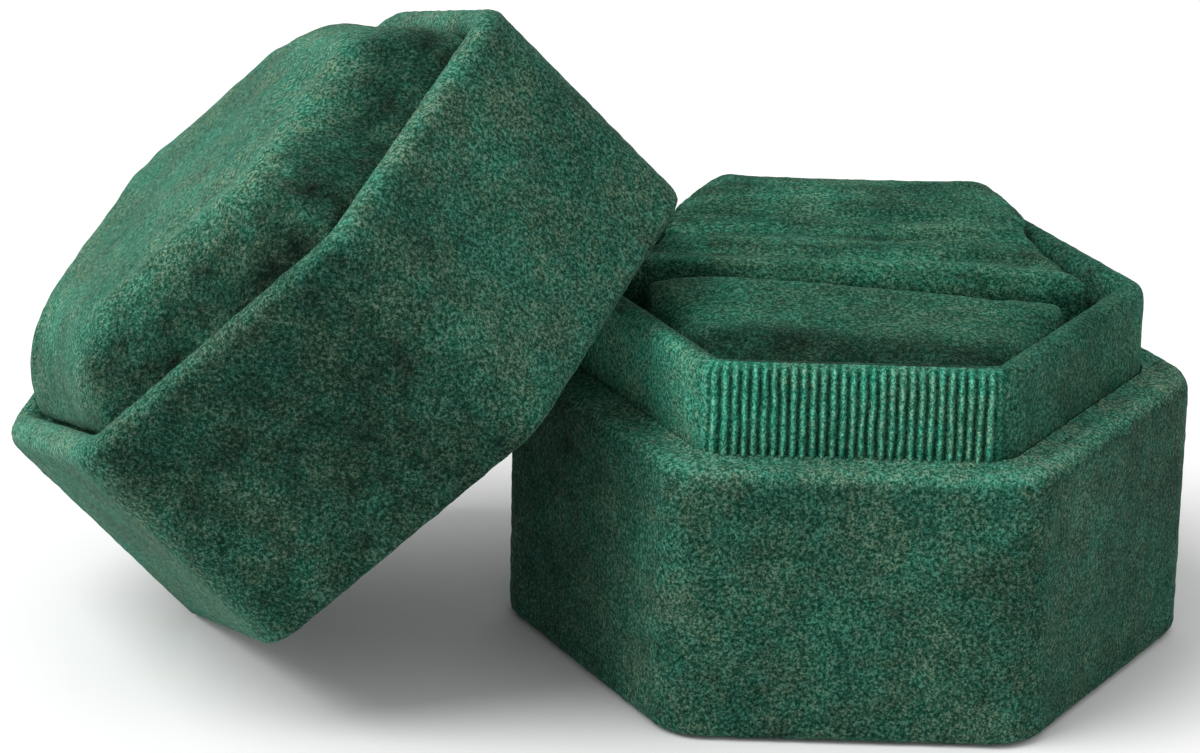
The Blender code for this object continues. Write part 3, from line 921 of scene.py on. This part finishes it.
# ------------------------------------------------------------------ camera, floor and light
CAMERA_PLACE = (-0.01367, -0.42039, 0.18842)
CAMERA_HEADING = math.radians(1.093)
CAMERA_DIP = math.radians(21.553)     # below level
CAMERA_ROLL = math.radians(1.197)


def build_camera():
    """Long lens, a little above the box, at the front and slightly to the left."""
    data = bpy.data.cameras.new("camera")
    data.lens = 156.3
    data.sensor_width = 36.0
    camera = bpy.data.objects.new("camera", data)
    heading = Matrix.Rotation(CAMERA_HEADING, 4, "Z")
    pitch = Matrix.Rotation(math.pi / 2 - CAMERA_DIP, 4, "X")
    roll = Matrix.Rotation(CAMERA_ROLL, 4, "Z")
    camera.matrix_world = Matrix.Translation(CAMERA_PLACE) @ heading @ pitch @ roll
    bpy.context.scene.collection.objects.link(camera)
    bpy.context.scene.camera = camera


def build_floor():
    """Plain pale floor."""
    shape = bmesh.new()
    bmesh.ops.create_grid(shape, x_segments=1, y_segments=1, size=3.0)
    finish = Finish("pale_floor", Roughness=0.9, Specular_IOR_Level=0.1)
    finish.feed("Base Color", opaque((0.92, 0.92, 0.92)))
    floor = finish_piece("floor", shape, UPRIGHT, finish.material)


def build_light():
    """A white tent round the box, and one large soft lamp high on the left."""
    world = bpy.data.worlds.new("white_tent")
    world.use_nodes = True
    background = world.node_tree.nodes["Background"]
    background.inputs["Color"].default_value = (1, 1, 1, 1)
    background.inputs["Strength"].default_value = 0.70
    bpy.context.scene.world = world
    bpy.context.scene.view_settings.view_transform = "Standard"
    data = bpy.data.lights.new("key_light", "AREA")
    data.shape = "DISK"
    data.size = 1.1
    data.energy = 18
    lamp = bpy.data.objects.new("key_light", data)
    spot = Vector((-0.85, -0.35, 1.20))
    middle = Vector((-0.02, 0, 0.02))
    aim = (middle - spot).to_track_quat("-Z", "Y")
    lamp.matrix_world = Matrix.Translation(spot) @ aim.to_matrix().to_4x4()
    bpy.context.scene.collection.objects.link(lamp)


# ------------------------------------------------------------------ build
# Each velvet has the colour of its deepest, middle and lightest tufts.
velvet = velvet_finish("green_velvet", (0.0012, 0.024, 0.013), (0.019, 0.068, 0.044),
                       (0.090, 0.176, 0.132))
collar_velvet = velvet_finish("collar_green_velvet", (0.0012, 0.031, 0.018), (0.018, 0.086, 0.055),
                              (0.080, 0.200, 0.145))
corded_velvet = velvet_finish("corded_green_velvet", (0.0010, 0.066, 0.038), (0.026, 0.158, 0.104),
                              (0.145, 0.340, 0.250), tuft=0.28 * MM, drift=0.4, lift=0.06)
pad_velvet = velvet_finish("cushion_green_velvet", (0.0010, 0.027, 0.014), (0.016, 0.076, 0.047),
                           (0.078, 0.185, 0.130))
pillow_velvet = velvet_finish("pillow_green_velvet", (0.0016, 0.034, 0.018), (0.027, 0.092, 0.060),
                              (0.115, 0.215, 0.155))
lining_velvet = velvet_finish("lining_green_velvet", (0.0010, 0.020, 0.012), (0.015, 0.056, 0.035),
                              (0.060, 0.124, 0.090))

build_camera()
build_floor()
build_light()
build_base()
build_collar()
build_ribs()
build_pad("front_cushion_half", "front_pad_cover", "front_pad_foam", "front_pad",
          pad_plan(slot=-2.2 * MM, slot_half=18.2 * MM, shoulder=-6.0 * MM), FRONT_PAD_TOP,
          dress_front_pad, front_pad_painted_light, seed=6)
build_pad("rear_cushion_half", "rear_pad_cover", "rear_pad_foam", "rear_pad",
          pad_plan(slot=-0.8 * MM, slot_half=21.0 * MM, shoulder=1.6 * MM), REAR_PAD_TOP,
          dress_rear_pad, rear_pad_painted_light, seed=5)
build_well_floor()
build_lid_velvet()
build_lining()
build_pillow()
build_ceiling()
dress_boards()
